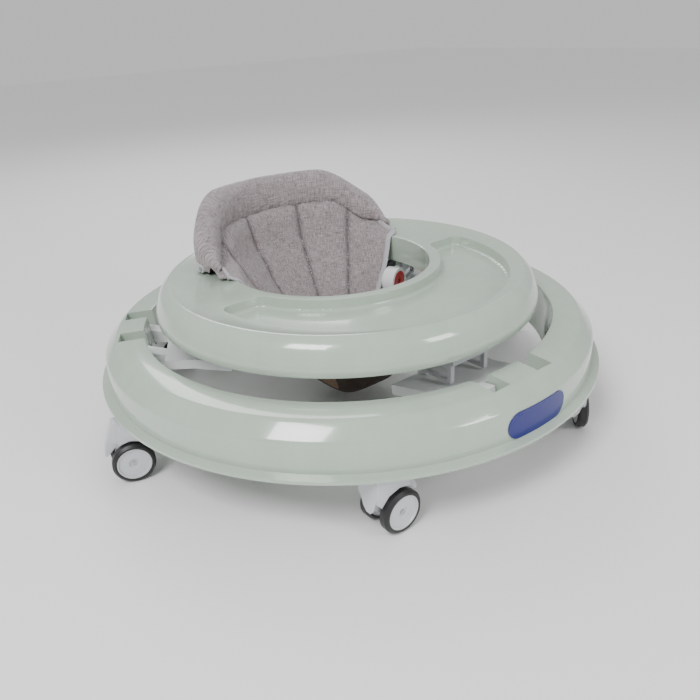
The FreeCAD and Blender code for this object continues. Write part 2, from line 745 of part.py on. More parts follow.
def seat_sling():
    """The fabric seat: a hollow bag, open above, cut away to each side of the front for the legs."""
    outside = seat_loft("seat_outside", "0", "seat_top_z", "seat_bottom_z")
    inside = seat_loft("seat_inside", "seat_cloth", "seat_top_z + 1", "seat_bottom_z + seat_cloth")
    gaps = []
    for side, sign in (("right", 1.0), ("left", -1.0)):
        gap = box("leg_gap_" + side, ("0", "0", "0"),
                  ("2 * seat_top_radius", "2 * seat_top_radius", "2 * seat_top_radius"))
        low_y = value("leg_gap_back - (seat_top_z - leg_gap_z) * tan(leg_gap_lean)")
        lean = FreeCAD.Rotation(FreeCAD.Vector(1, 0, 0), -value("leg_gap_lean"))
        size = 2 * value("seat_top_radius")
        back_edge = FreeCAD.Vector(0, size, 0)
        corner = FreeCAD.Vector(0, low_y, value("leg_gap_z")) - lean.multVec(back_edge)
        corner.x = value("leg_gap_half") if sign > 0 else -value("leg_gap_half") - size
        for letter in "xyz":
            gap.setExpression("Placement.Base." + letter, None)
        gap.Placement = FreeCAD.Placement(corner, lean)
        gaps.append(gap)
    keep("seat_sling", cut("seat_bag", outside, [inside] + gaps))


# ---------------------------------------------------------------- side locks

def side_locks():
    """Round release knobs under the hole's left and right edge, each with a push button."""
    springs = []
    screws = []
    for side, sign in (("right", 1.0), ("left", -1.0)):
        body = new_body("lock_knob_" + side)
        pad(body, circle(new_sketch(body, "XY"), "0", "0", "knob_radius"), "knob_depth")
        pocket(body, circle(new_sketch(body, "XY", "knob_depth"), "0", "0", "button_radius + 0.3"),
               "button_depth - button_proud + button_travel + 1")
        pocket(body, circle(new_sketch(body, "XY", "3"), "0", "0", "1.7"), "knob_depth", reverse=True)
        facing = place(turn=90.0, axis=(1, 0, 0))
        swing = place(sign * value("knob_x"), value("knob_y"), value("knob_z"), sign * value("knob_turn"))
        back = place(0, 0.5 * value("knob_depth"), 0)
        seat = swing.multiply(back).multiply(facing)
        keep("lock_knob_" + side, body, seat)
        face = "(knob_depth + button_proud)"
        button = cut("button_solid_" + side,
                     rod("button_disc_" + side, "button_radius", "button_depth",
                         ("0", "0", face + " - button_depth")),
                     [rod("button_bore_" + side, "1.9", "knob_depth", ("0", "0", "3")),
                      rod("button_sink_" + side, "3.8", "knob_depth", ("0", "0", face + " - 4.5")),
                      rod("button_well_" + side, "3.8", "3", ("0", "0", face + " - button_depth"))])
        keep("lock_button_" + side, button, seat)
        floor_z = face + " - button_depth - button_travel - 0.95"
        spring = cut("spring_solid_" + side,
                     rod("spring_out_" + side, "3.4", "button_travel + 0.8", ("0", "0", floor_z)),
                     [rod("spring_in_" + side, "2.6", "knob_depth", ("0", "0", floor_z + " - 1"))])
        screw = fuse("screw_solid_" + side, [
            rod("screw_shank_" + side, "1.6", face + " - 7.6", ("0", "0", "3.2")),
            rod("screw_head_" + side, "3.0", "1.2", ("0", "0", face + " - 4.45"))])
        for piece, pile in ((spring, springs), (screw, screws)):
            piece.Placement = seat
            pile.append(piece)
        arm_low = (sign * value("knob_x + 6"), value("knob_y + 14"), value("knob_z"))
        reach = ("-7", "18") if side == "right" else ("-18", "7")
        bracket = fuse("lock_arm_" + side, [
            box("lock_arm_solid_" + side, ("-7", "0", "-9"), ("7", "9", "24")),
            box("lock_arm_hook_" + side, (reach[0], "0", "14"), (reach[1], "9", "24"))])
        keep("lock_bracket_" + side, bracket, place(*arm_low, sign * value("knob_turn")))
    keep("button_springs", group("button_spring_group", springs))
    keep("button_screws", group("button_screw_group", screws))


# ---------------------------------------------------------------- castors

def castor(number, azimuth, trail):
    """A twin-wheel castor: hood and stem, axle, two hubs and two tyres."""
    name = "castor_%d" % number
    turn = math.radians(azimuth)
    reach = value("castor_radius")
    seat = place(reach * math.cos(turn), reach * math.sin(turn), 0, trail)

    hood = new_body(name + "_hood")
    pad(hood, outline(new_sketch(hood, "XZ"), [
        ("-13", "hood_top"), ("-13", "44"), ("-9", "34"), ("0", "24"), ("trail - 8", "19"),
        ("trail", "17"), ("trail + 8", "20"), ("trail + 11", "30"), ("trail + 19", "48"),
        ("trail + 30", "37"), ("trail + 33", "39"), ("trail + 31", "47"), ("trail + 28", "57"),
        ("trail + 24", "67"), ("trail + 18", "hood_top"),
    ]), "2 * hood_half", both_ways=True)
    pad(hood, outline(new_sketch(hood, "XZ"), [
        ("-14", "hood_top"), ("-14", "58"), ("-13", "48"), ("trail - 26.4", "42.3"),
        ("trail - 15.3", "53.4"), ("trail", "57.5"), ("trail + 15", "53.6"),
        ("trail + 14", "68"), ("trail + 10", "hood_top"),
    ]), "4 * hood_half", both_ways=True)
    pad(hood, outline(new_sketch(hood, "YZ", "-14"), [
        ("-2 * hood_half", "hood_top"), ("2 * hood_half", "hood_top"), ("2 * hood_half", "60"),
        ("hood_half", "36"), ("0.4 * hood_half", "30"), ("-0.4 * hood_half", "30"),
        ("-hood_half", "36"), ("-2 * hood_half", "60"),
    ]), "4")
    pad(hood, circle(new_sketch(hood, "XY", "barrel_low"), "0", "0", "socket_radius"),
        "hood_top - barrel_low")
    pad(hood, circle(new_sketch(hood, "XY", "hood_top"), "0", "0", "stem_radius"),
        "stem_top - hood_top")
    pocket(hood, circle(new_sketch(hood, "XZ"), "trail", "tyre_radius", "axle_radius + running_gap"),
           "4 * hood_half", both_ways=True)
    keep(name + "_hood", hood, seat)

    axle = group(name + "_axle_piece", [
        rod(name + "_axle_rod", "axle_radius", "2 * wheel_outer - 5",
            ("trail", "wheel_outer - 2.5", "tyre_radius"), (0, -1, 0))])
    keep(name + "_axle", axle, seat)

    hub_section = [
        ("axle_radius + running_gap", "wheel_inner + 0.5"), ("tyre_seat", "wheel_inner + 0.5"),
        ("tyre_seat", "wheel_outer - 0.5"), ("tyre_seat - 2", "wheel_outer - 0.5"),
        ("tyre_seat - 2.6", "wheel_outer - 2"), ("6.5", "wheel_outer - 2"),
        ("5.5", "wheel_outer - 3.5"), ("axle_radius + running_gap", "wheel_outer - 3.5"),
    ]
    wheel_turn = place(turn=90.0, axis=(1, 0, 0))
    wheel_seat = seat.multiply(place(value("trail"), 0, value("tyre_radius"))).multiply(wheel_turn)
    for side, sign in (("a", ""), ("b", "-")):
        hub = new_body("%s_hub_%s" % (name, side))
        turned(hub, "Revolution", outline(new_sketch(hub, "XZ"), [
            (along, sign + "(%s)" % across) for along, across in hub_section]))
        keep("%s_hub_%s" % (name, side), hub, wheel_seat)
    tyres = new_body(name + "_tyres")
    section = new_sketch(tyres, "XZ")
    for sign in ("", "-"):
        outline(section, [
            ("tyre_seat", sign + "wheel_inner"), ("tyre_radius - 3", sign + "wheel_inner"),
            ("tyre_radius", sign + "(wheel_inner + 3)"), ("tyre_radius", sign + "(wheel_outer - 3)"),
            ("tyre_radius - 3", sign + "wheel_outer"), ("tyre_seat", sign + "wheel_outer"),
        ])
    turned(tyres, "Revolution", section)
    keep(name + "_tyres", tyres, wheel_seat)


# ---------------------------------------------------------------- build and write

base_ring()
badge()
for leg_name, leg_azimuth in LEG_AZIMUTHS.items():
    leg(leg_name, leg_azimuth)
hinge_pins()
tray()
for leg_name, leg_azimuth in LEG_AZIMUTHS.items():
    guide(leg_name, leg_azimuth)
guide_screws()
backrest()
hinge_brackets()
seat_sling()
side_locks()
for count, (castor_azimuth, castor_trail) in enumerate(zip(CASTOR_AZIMUTHS, CASTOR_TRAILS), start=1):
    castor(count, castor_azimuth + CASTOR_PHASE, castor_trail)

doc.recompute()
for item in doc.Objects:
    if "Invalid" in item.State or "Error" in item.State:
        raise RuntimeError("%s did not recompute: %s" % (item.Name, item.State))
broken = [node.Label for node in nodes if node.Shape.isNull() or not node.Shape.isValid()]
if broken:
    raise RuntimeError("no valid shape: " + ", ".join(broken))
for node in nodes:
    node.Shape.exportStep("parts/%s.step" % node.Label)
    print("%-24s %9.0f mm3, %d solid(s)" % (node.Label, node.Shape.Volume, len(node.Shape.Solids)))
print("%d nodes" % len(nodes))
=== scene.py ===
# %% [markdown]
# # A round baby walker
# The walker stands on six twin-wheel castors. A hollow ring carries a round play tray on hinged
# legs, and a quilted fabric seat hangs in the tray's hole from a folding backrest.
# The CAD model gives every hard part its true shape and place, so this script loads it first.

# %% Load the frame
import json
import math

import bmesh
import bpy
from mathutils import Matrix, Vector, noise


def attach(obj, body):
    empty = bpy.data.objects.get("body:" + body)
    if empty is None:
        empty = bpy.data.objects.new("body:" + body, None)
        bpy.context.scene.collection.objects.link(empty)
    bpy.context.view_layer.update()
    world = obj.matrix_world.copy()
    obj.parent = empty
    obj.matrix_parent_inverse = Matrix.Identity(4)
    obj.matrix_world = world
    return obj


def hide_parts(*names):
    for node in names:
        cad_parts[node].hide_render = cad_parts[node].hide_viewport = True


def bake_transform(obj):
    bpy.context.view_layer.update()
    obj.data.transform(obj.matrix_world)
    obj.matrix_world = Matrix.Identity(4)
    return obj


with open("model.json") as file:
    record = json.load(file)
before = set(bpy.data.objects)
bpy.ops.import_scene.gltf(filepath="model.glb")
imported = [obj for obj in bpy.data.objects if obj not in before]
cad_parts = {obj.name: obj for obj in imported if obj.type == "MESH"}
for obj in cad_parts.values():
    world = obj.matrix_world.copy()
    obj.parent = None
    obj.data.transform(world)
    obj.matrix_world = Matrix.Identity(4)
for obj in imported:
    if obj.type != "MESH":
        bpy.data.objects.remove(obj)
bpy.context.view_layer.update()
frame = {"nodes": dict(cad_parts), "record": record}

MM = 0.001
print(len(frame["nodes"]), "CAD nodes loaded")

# %% [markdown]
# ## The camera comes first
# A product picture is judged from one place, so the camera is set before any modelling. It looks
# slightly down at the front left of the walker, with a normal lens and a small roll.

# %% Camera
CAMERA_PLACE = Vector((-0.587, -0.752, 0.527))
LOOK = Vector((0.5554, 0.7108, -0.4313)).normalized()
CAMERA_ROLL = -2.92


def add_camera():
    """A 36 mm lens on a 36 mm sensor, looking along LOOK and rolled about it."""
    camera = bpy.data.objects.new("camera", bpy.data.cameras.new("camera"))
    camera.data.lens = 36.0
    camera.data.sensor_width = 36.0
    turn = LOOK.to_track_quat("-Z", "Y").to_matrix().to_4x4()
    roll = Matrix.Rotation(math.radians(CAMERA_ROLL), 4, "Z")
    camera.matrix_world = Matrix.Translation(CAMERA_PLACE) @ turn @ roll
    bpy.context.scene.collection.objects.link(camera)
    bpy.context.scene.camera = camera
    return camera


print("camera at", tuple(round(c, 3) for c in add_camera().location))

# %% [markdown]
# ## Floor and light
# A pale, flat floor keeps attention on the object. Three soft square lamps give the clear highlights
# that show glossy plastic, and a bright world fills the shadows.

# %% Floor and lights
STUDIO_WHITE = (0.93, 0.93, 0.93, 1.0)


def plain_material(name, colour, roughness):
    """A principled material with one colour, for things that are not part of the object."""
    material = bpy.data.materials.new(name)
    material.use_nodes = True
    shader = material.node_tree.nodes["Principled BSDF"]
    shader.inputs["Base Color"].default_value = colour
    shader.inputs["Roughness"].default_value = roughness
    return material


def add_floor():
    mesh = bpy.data.meshes.new("floor")
    plane = bmesh.new()
    bmesh.ops.create_grid(plane, x_segments=1, y_segments=1, size=8.0)
    plane.to_mesh(mesh)
    plane.free()
    mesh.materials.append(plain_material("studio_floor", STUDIO_WHITE, 0.6))
    floor = bpy.data.objects.new("floor", mesh)
    bpy.context.scene.collection.objects.link(floor)


def add_lamp(name, place, size, power):
    """A square area lamp aimed at the middle of the walker."""
    data = bpy.data.lights.new(name, "AREA")
    data.size = size
    data.energy = power
    lamp = bpy.data.objects.new(name, data)
    aim = Vector((0, 0, 0.12)) - Vector(place)
    lamp.matrix_world = Matrix.Translation(place) @ aim.to_track_quat("-Z", "Y").to_matrix().to_4x4()
    bpy.context.scene.collection.objects.link(lamp)


def add_world(strength):
    world = bpy.data.worlds.new("studio")
    world.use_nodes = True
    world.node_tree.nodes["Background"].inputs["Color"].default_value = (1, 1, 1, 1)
    world.node_tree.nodes["Background"].inputs["Strength"].default_value = strength
    bpy.context.scene.world = world


add_floor()
add_world(0.65)
add_lamp("key_lamp", (-1.5, -0.7, 1.9), 0.8, 42.0)
add_lamp("front_lamp", (0.5, -2.0, 1.2), 0.6, 14.0)
add_lamp("back_lamp", (0.8, 1.8, 1.8), 1.2, 20.0)
print("stage ready")

# %% [markdown]
# ## Shared effects
# Moulded plastic is never one flat colour: the melt leaves faint streaks and dust, and handling
# leaves fine scuffs that change the gloss. One node group makes that for every plastic here, and
# a second group makes a plain weave for the cloth.

# %% Moulded plastic group


def new_group(name, inputs, outputs):
    """A shader node group with named sockets; returns it with its input and output nodes."""
    group = bpy.data.node_groups.new(name, "ShaderNodeTree")
    for label, kind, start in inputs:
        socket = group.interface.new_socket(label, in_out="INPUT", socket_type=kind)
        socket.default_value = start
    for label, kind in outputs:
        group.interface.new_socket(label, in_out="OUTPUT", socket_type=kind)
    return group, group.nodes.new("NodeGroupInput"), group.nodes.new("NodeGroupOutput")


def add_node(tree, kind, settings=(), **inputs):
    """One node with its settings. Inputs go by name, or by number as i0, i1 and so on, and each is
    a value or another node's socket."""
    node = tree.nodes.new(kind)
    for name, value in dict(settings).items():
        setattr(node, name, value)
    for name, value in inputs.items():
        numbered = name[0] == "i" and name[1:].isdigit()
        socket = node.inputs[int(name[1:]) if numbered else name.replace("_", " ")]
        if isinstance(value, bpy.types.NodeSocket):
            tree.links.new(value, socket)
        else:
            socket.default_value = value
    return node


def mix_colours(tree, factor, first, second, blend="MIX"):
    node = tree.nodes.new("ShaderNodeMix")
    node.data_type = "RGBA"
    node.blend_type = blend
    for index, value in ((0, factor), (6, first), (7, second)):
        if isinstance(value, bpy.types.NodeSocket):
            tree.links.new(value, node.inputs[index])
        else:
            node.inputs[index].default_value = value
    return node.outputs[2]


def maths(tree, operation, first, second):
    return add_node(tree, "ShaderNodeMath", {"operation": operation}, i0=first, i1=second).outputs[0]


def ramp(tree, value, low, high, start=0.0, end=1.0):
    """A value stretched from low..high to start..end."""
    node = add_node(tree, "ShaderNodeMapRange", i0=value, i1=low, i2=high, i3=start, i4=end)
    return node.outputs[0]


def plastic_group():
    tree, entry, leave = new_group(
        "moulded_plastic",
        [("Colour", "NodeSocketColor", (0.5, 0.5, 0.5, 1)), ("Roughness", "NodeSocketFloat", 0.2),
         ("Streaks", "NodeSocketFloat", 0.5)],
        [("Colour", "NodeSocketColor"), ("Roughness", "NodeSocketFloat"), ("Height", "NodeSocketFloat")])
    place = tree.nodes.new("ShaderNodeTexCoord").outputs["Object"]
    cloud = add_node(tree, "ShaderNodeTexNoise", Vector=place, Scale=9.0, Detail=4.0).outputs["Fac"]
    stretch = add_node(tree, "ShaderNodeMapping", Vector=place)
    stretch.inputs["Scale"].default_value = (14.0, 14.0, 2.0)
    streak = add_node(tree, "ShaderNodeTexNoise", Vector=stretch.outputs[0], Scale=3.0, Detail=6.0,
                      Distortion=0.4).outputs["Fac"]
    dust = add_node(tree, "ShaderNodeTexNoise", Vector=place, Scale=420.0, Detail=2.0).outputs["Fac"]
    shade = maths(tree, "MULTIPLY", ramp(tree, streak, 0.35, 0.7), entry.outputs["Streaks"])
    darker = mix_colours(tree, 1.0, entry.outputs["Colour"], (0.93, 0.93, 0.94, 1), "MULTIPLY")
    toned = mix_colours(tree, shade, entry.outputs["Colour"], darker)
    lighter = mix_colours(tree, 1.0, toned, (1.03, 1.03, 1.03, 1), "MULTIPLY")
    clouded = mix_colours(tree, ramp(tree, cloud, 0.4, 0.65), toned, lighter)
    tree.links.new(clouded, leave.inputs["Colour"])
    scuff = maths(tree, "MULTIPLY", ramp(tree, cloud, 0.3, 0.7), 0.08)
    grit = maths(tree, "MULTIPLY", ramp(tree, dust, 0.55, 0.75), 0.025)
    rough = maths(tree, "ADD", entry.outputs["Roughness"], scuff)
    rough = maths(tree, "ADD", rough, grit)
    tree.links.new(rough, leave.inputs["Roughness"])
    tree.links.new(streak, leave.inputs["Height"])
    return tree


PLASTIC = plastic_group()
print("group", PLASTIC.name)

# %% Woven cloth group


def weave_group():
    """Two crossing sets of threads with uneven colour, painted shade where they lie low in the gaps, and
    the height that they stand to.
    """
    tree, entry, leave = new_group(
        "woven_cloth",
        [("Light thread", "NodeSocketColor", (0.5, 0.5, 0.5, 1)),
         ("Dark thread", "NodeSocketColor", (0.3, 0.3, 0.3, 1)), ("Threads", "NodeSocketFloat", 900.0)],
        [("Colour", "NodeSocketColor"), ("Height", "NodeSocketFloat")])
    place = tree.nodes.new("ShaderNodeUVMap").outputs["UV"]
    heights = []
    slubs = []
    for stretch, direction in (((1.0, 14.0, 1.0), "X"), ((14.0, 1.0, 1.0), "Y")):
        wave = add_node(tree, "ShaderNodeTexWave",
                        {"wave_type": "BANDS", "bands_direction": direction, "wave_profile": "SIN"},
                        Vector=place, Scale=entry.outputs["Threads"], Distortion=0.6, Detail=1.0)
        heights.append(wave.outputs["Fac"])
        along = add_node(tree, "ShaderNodeMapping", Vector=place)
        along.inputs["Scale"].default_value = stretch
        slub = add_node(tree, "ShaderNodeTexNoise", Vector=along.outputs[0], Scale=60.0, Detail=5.0,
                        Roughness=0.7)
        slubs.append(ramp(tree, slub.outputs["Fac"], 0.36, 0.64))
    cross = maths(tree, "MAXIMUM", heights[0], heights[1])
    fleck = maths(tree, "ADD", slubs[0], slubs[1])
    fleck = ramp(tree, fleck, 0.35, 1.65)
    colour = mix_colours(tree, fleck, entry.outputs["Dark thread"], entry.outputs["Light thread"])
    # Painted shade: the colour is darkened where the threads lie low, in the gaps between them.
    painted_gap_shade = mix_colours(tree, 1.0, colour, (0.72, 0.70, 0.70, 1), "MULTIPLY")
    tree.links.new(mix_colours(tree, ramp(tree, cross, 0.2, 0.8), painted_gap_shade, colour), leave.inputs["Colour"])
    tree.links.new(cross, leave.inputs["Height"])
    return tree


WEAVE = weave_group()
print("group", WEAVE.name)

# %% [markdown]
# ## Finishes
# Each finish is the shared group with its own colour and gloss. Values that are the same all over
# a surface, such as sheen or coat, sit on the shader itself.

# %% Plastic and metal finishes


def plastic(name, colour, roughness, streaks=0.5, coat=0.0, bump=0.02):
    material = bpy.data.materials.new(name)
    material.use_nodes = True
    tree = material.node_tree
    shader = tree.nodes["Principled BSDF"]
    group = tree.nodes.new("ShaderNodeGroup")
    group.node_tree = PLASTIC
    group.inputs["Colour"].default_value = (*colour, 1)
    group.inputs["Roughness"].default_value = roughness
    group.inputs["Streaks"].default_value = streaks
    tree.links.new(group.outputs["Colour"], shader.inputs["Base Color"])
    tree.links.new(group.outputs["Roughness"], shader.inputs["Roughness"])
    waves = add_node(tree, "ShaderNodeBump", Strength=bump, Distance=0.002, Height=group.outputs["Height"])
    tree.links.new(waves.outputs[0], shader.inputs["Normal"])
    shader.inputs["Coat Weight"].default_value = coat
    shader.inputs["Coat Roughness"].default_value = 0.06
    return material


def steel(name):
    """Turned steel: a metal whose gloss is broken by fine rings of tool marks."""
    material = bpy.data.materials.new(name)
    material.use_nodes = True
    tree = material.node_tree
    shader = tree.nodes["Principled BSDF"]
    shader.inputs["Metallic"].default_value = 1.0
    place = tree.nodes.new("ShaderNodeTexCoord").outputs["Object"]
    marks = add_node(tree, "ShaderNodeTexNoise", Vector=place, Scale=900.0, Detail=3.0).outputs["Fac"]
    shade = mix_colours(tree, marks, (0.36, 0.37, 0.39, 1), (0.62, 0.63, 0.65, 1))
    tree.links.new(shade, shader.inputs["Base Color"])
    tree.links.new(ramp(tree, marks, 0.3, 0.7, 0.28, 0.45), shader.inputs["Roughness"])
    return material


SAGE = plastic("sage_plastic", (0.43, 0.515, 0.43), 0.12, 0.7, coat=0.8)
WHITE = plastic("white_plastic", (0.78, 0.79, 0.80), 0.2, 0.3, coat=0.3)
CASTOR_GREY = plastic("castor_plastic", (0.60, 0.61, 0.64), 0.28, 0.3)
GREY = plastic("grey_plastic", (0.55, 0.56, 0.58), 0.35, 0.3)
BLACK = plastic("black_plastic", (0.022, 0.022, 0.024), 0.4, 0.2)
RED = plastic("red_plastic", (0.42, 0.012, 0.015), 0.22, 0.3, coat=0.3)
BLUE = plastic("badge_plastic", (0.005, 0.008, 0.17), 0.25, 0.2, coat=0.1)
RUBBER = plastic("wheel_rubber", (0.014, 0.014, 0.015), 0.42, 0.4, bump=0.15)
STEEL = steel("steel")
print("plastics and steel made")

# %% [markdown]
# ## Cloth
# The cover is a heathered cloth: light and dark threads cross at random, so the colour flickers.
# Its pattern follows the piece's own UV map in metres, so that the threads keep their size.
# Along the quilting lines, shade is painted into the cloth's colour.

# %% Cloth finishes


def cloth(name, light, dark, threads=420.0, sheen=0.35, bump=0.5):
    material = bpy.data.materials.new(name)
    material.use_nodes = True
    tree = material.node_tree
    shader = tree.nodes["Principled BSDF"]
    group = tree.nodes.new("ShaderNodeGroup")
    group.node_tree = WEAVE
    group.inputs["Light thread"].default_value = (*light, 1)
    group.inputs["Dark thread"].default_value = (*dark, 1)
    group.inputs["Threads"].default_value = threads
    # Painted shade: a point attribute darkens the colour along the quilting lines, where the grooves lie
    # in shade.
    painted_seam_shade = add_node(tree, "ShaderNodeAttribute", {"attribute_name": "painted_seam_shade"}).outputs["Fac"]
    shadow = mix_colours(tree, 1.0, group.outputs["Colour"], (0.42, 0.40, 0.41, 1), "MULTIPLY")
    shade = mix_colours(tree, painted_seam_shade, group.outputs["Colour"], shadow)
    tree.links.new(shade, shader.inputs["Base Color"])
    shader.inputs["Roughness"].default_value = 0.92
    shader.inputs["Sheen Weight"].default_value = sheen
    shader.inputs["Sheen Roughness"].default_value = 0.5
    shader.inputs["Specular IOR Level"].default_value = 0.2
    threads_up = add_node(tree, "ShaderNodeBump", Strength=bump, Distance=0.0004,
                          Height=group.outputs["Height"])
    tree.links.new(threads_up.outputs[0], shader.inputs["Normal"])
    return material


HEATHER = cloth("heather_cloth", (0.50, 0.445, 0.455), (0.155, 0.125, 0.132))
BINDING = cloth("binding_tape", (0.58, 0.57, 0.60), (0.46, 0.45, 0.48), threads=700.0)
NET = cloth("window_net", (0.30, 0.20, 0.13), (0.10, 0.065, 0.045), threads=75.0, sheen=0.1, bump=1.0)
SEAT_BASE = cloth("seat_base_cloth", (0.075, 0.055, 0.045), (0.03, 0.022, 0.02), threads=260.0, sheen=0.1)
print("cloths made")

# %% [markdown]
# ## CAD nodes
# A hard CAD part keeps its mesh. It only needs its finish, and smooth shading that stops at real
# edges: the corners are welded, split where the surface turns sharply, and shaded smooth.

# %% Finish the CAD nodes
NODE_FINISHES = {
    "sage_plastic": SAGE, "white_plastic": WHITE, "castor_plastic": CASTOR_GREY, "grey_plastic": GREY,
    "black_plastic": BLACK, "red_plastic": RED, "badge_plastic": BLUE, "seat_fabric": HEATHER,
    "wheel_rubber": RUBBER, "steel": STEEL,
}
SHARP = math.radians(24)


def finish_cad_nodes():
    slots = {part["node"]: part["material_slot"] for part in frame["record"]["subparts"]}
    for name, node in frame["nodes"].items():
        node.data.materials.clear()
        node.data.materials.append(NODE_FINISHES[slots[name]])
        if node.data.has_custom_normals:
            with bpy.context.temp_override(object=node, active_object=node):
                bpy.ops.mesh.customdata_custom_splitnormals_clear()
        node.data.polygons.foreach_set("use_smooth", [True] * len(node.data.polygons))
        weld = node.modifiers.new("weld", "WELD")
        weld.merge_threshold = 0.00001
        split = node.modifiers.new("edges", "EDGE_SPLIT")
        split.split_angle = SHARP
    return len(slots)


print(finish_cad_nodes(), "nodes finished")

# %% [markdown]
# ## Helpers for new pieces
# Every new piece is made in its final place, so its object sits at the origin. A UV map in metres
# comes from the piece's own directions: round the hole, and up.

# %% Piece helpers
HOLE = Vector((0.0, 0.035, 0.0))


def shade_smooth(mesh):
    mesh.polygons.foreach_set("use_smooth", [True] * len(mesh.polygons))


def cloth_piece(name, mesh, materials):
    """An object for a finished mesh, with the given materials, shaded smooth."""
    piece = bpy.data.objects.new(name, mesh)
    bpy.context.scene.collection.objects.link(piece)
    for material in materials:
        mesh.materials.append(material)
    shade_smooth(mesh)
    return piece


def bearing(point):
    """The angle round the hole from its back, in degrees, positive to +X."""
    return math.degrees(math.atan2(point.x - HOLE.x, point.y - HOLE.y))


def arc_uv(mesh, radius=0.15):
    """UV in metres: the way round the hole at a fixed radius, and the way out and up."""
    layer = mesh.uv_layers.get("UVMap") or mesh.uv_layers.new(name="UVMap")
    for loop in mesh.loops:
        spot = mesh.vertices[loop.vertex_index].co
        away = math.hypot(spot.x - HOLE.x, spot.y - HOLE.y)
        layer.data[loop.index].uv = (math.radians(bearing(spot)) * radius, spot.z + away)


print("helpers ready")

# %% [markdown]
# ## The padded back roll
# The top of the backrest is a thick roll of wadding in a cloth cover. A rounded section is spun
# about the middle of the hole, and lowered and drawn in towards its tips. It is then blown up a
# little as cloth, so that it crowns as stuffing does. A hard sweep would look like plastic.

# %% Back roll shape
ROLL_SECTION = [(156, 251), (154.5, 262), (156.5, 278), (162, 293), (171, 302), (181, 303.5),
                (188.5, 297), (191.5, 284), (192, 262), (191.5, 238), (186.5, 236), (184, 251)]
ROLL_HALF = 74.0
ROLL_STEPS = 74
ROLL_BASE = 251
ROLL_HEIGHT = 52 * MM
GATHER_HEIGHT = 0.030
GATHER_DEPTH = 0.0035


def fall(angle, start, end):
    """From 0 at the start angle to 1 at the end angle, smoothly."""
    share = min(max((abs(angle) - start) / (end - start), 0.0), 1.0)
    return share * share * (3 - 2 * share)


def roll_foot(angle):
    """How far the roll's lower seam has come down at an angle, in millimetres."""
    return 27 * fall(angle, 38, 60) + 8 * fall(angle, 66, 76)


def roll_mesh():
    """The section spun to both sides of the back, lowered and drawn in towards its two tips."""
    shape = bmesh.new()
    section = [shape.verts.new(((HOLE.x), HOLE.y + away * MM, up * MM)) for away, up in ROLL_SECTION]
    start = shape.faces.new(section)
    bmesh.ops.rotate(shape, verts=shape.verts, cent=HOLE,
                     matrix=Matrix.Rotation(math.radians(-ROLL_HALF), 3, "Z"))
    bmesh.ops.spin(shape, geom=shape.verts[:] + shape.edges[:] + [start], cent=HOLE, axis=(0, 0, 1),
                   angle=math.radians(2 * ROLL_HALF), steps=ROLL_STEPS)
    base = ROLL_BASE * MM
    for vert in shape.verts:
        angle = bearing(vert.co)
        drop = (57 * fall(angle, 31, 72) + 22 * fall(angle, 58, 76)) * MM
        foot = roll_foot(angle) * MM
        share = min(max((vert.co.z - base) / ROLL_HEIGHT, 0.0), 1.0)
        vert.co.z -= foot + (drop - foot) * share
        away = math.hypot(vert.co.x, vert.co.y - HOLE.y)
        shrink = 1 - (1 - ROLL_SECTION[0][0] * MM / away) * 0.85 * fall(angle, 57, 78)
        vert.co.x *= shrink
        vert.co.y = HOLE.y + (vert.co.y - HOLE.y) * shrink
    bmesh.ops.recalc_face_normals(shape, faces=shape.faces)
    mesh = bpy.data.meshes.new("back_roll_cover")
    shape.to_mesh(mesh)
    shape.free()
    return mesh


def bake_modifiers(piece):
    """The piece's mesh with its modifiers applied."""
    seen = bpy.context.evaluated_depsgraph_get()
    baked = bpy.data.meshes.new_from_object(piece.evaluated_get(seen))
    piece.modifiers.clear()
    piece.data = baked
    return baked


def add_subdivision(piece):
    soften = piece.modifiers.new("smooth", "SUBSURF")
    soften.levels = 1
    soften.render_levels = 1


def inflate(piece, voxel, pressure, cap, frames=16):
    """Blow the piece up as cloth under pressure, and hold each point within cap of its start."""
    remesh = piece.modifiers.new("remesh", "REMESH")
    remesh.mode = "VOXEL"
    remesh.voxel_size = voxel
    mesh = bake_modifiers(piece)
    before = [vert.co.copy() for vert in mesh.vertices]
    puff = piece.modifiers.new("puff", "CLOTH")
    puff.settings.use_pressure = True
    puff.settings.uniform_pressure_force = pressure
    puff.settings.tension_stiffness = 15
    puff.settings.bending_stiffness = 1.5
    puff.settings.effector_weights.gravity = 0
    puff.point_cache.frame_start = 1
    puff.point_cache.frame_end = frames
    for step in range(1, frames + 1):
        bpy.context.scene.frame_set(step)
    mesh = bake_modifiers(piece)
    bpy.context.scene.frame_set(1)
    for vert, start in zip(mesh.vertices, before):
        move = vert.co - start
        if move.length > cap:
            vert.co = start + move * (cap / move.length)
    return mesh


def roll_gathers(mesh):
    """Small tucks that run up from the seam, where the cover is gathered into it."""
    for vert in mesh.vertices:
        angle = bearing(vert.co)
        away = math.hypot(vert.co.x, vert.co.y - HOLE.y)
        seam_z = (ROLL_BASE - roll_foot(angle)) * MM
        height = vert.co.z - seam_z
        if away < 0.172 and -0.004 < height < GATHER_HEIGHT:
            fade = (1 - max(height, 0.0) / GATHER_HEIGHT) ** 2
            fold = math.sin(angle * 1.35 + 3 * noise.noise(Vector((angle * 0.11, 0, 0))))
            depth = GATHER_DEPTH * fade * min(fold, 0.3)
            out = Vector((vert.co.x, vert.co.y - HOLE.y, 0)).normalized()
            vert.co -= out * depth


def make_back_roll():
    piece = cloth_piece("back_roll_cover", roll_mesh(), [])
    mesh = inflate(piece, 0.0045, 3.0, 0.006)
    roll_gathers(mesh)
    add_subdivision(piece)
    mesh = bake_modifiers(piece)
    mesh.materials.append(HEATHER)
    shade_smooth(mesh)
    arc_uv(mesh)
    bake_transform(piece)
    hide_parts("back_roll")
    return piece


back_roll = make_back_roll()
print("back roll faces:", len(back_roll.data.polygons))

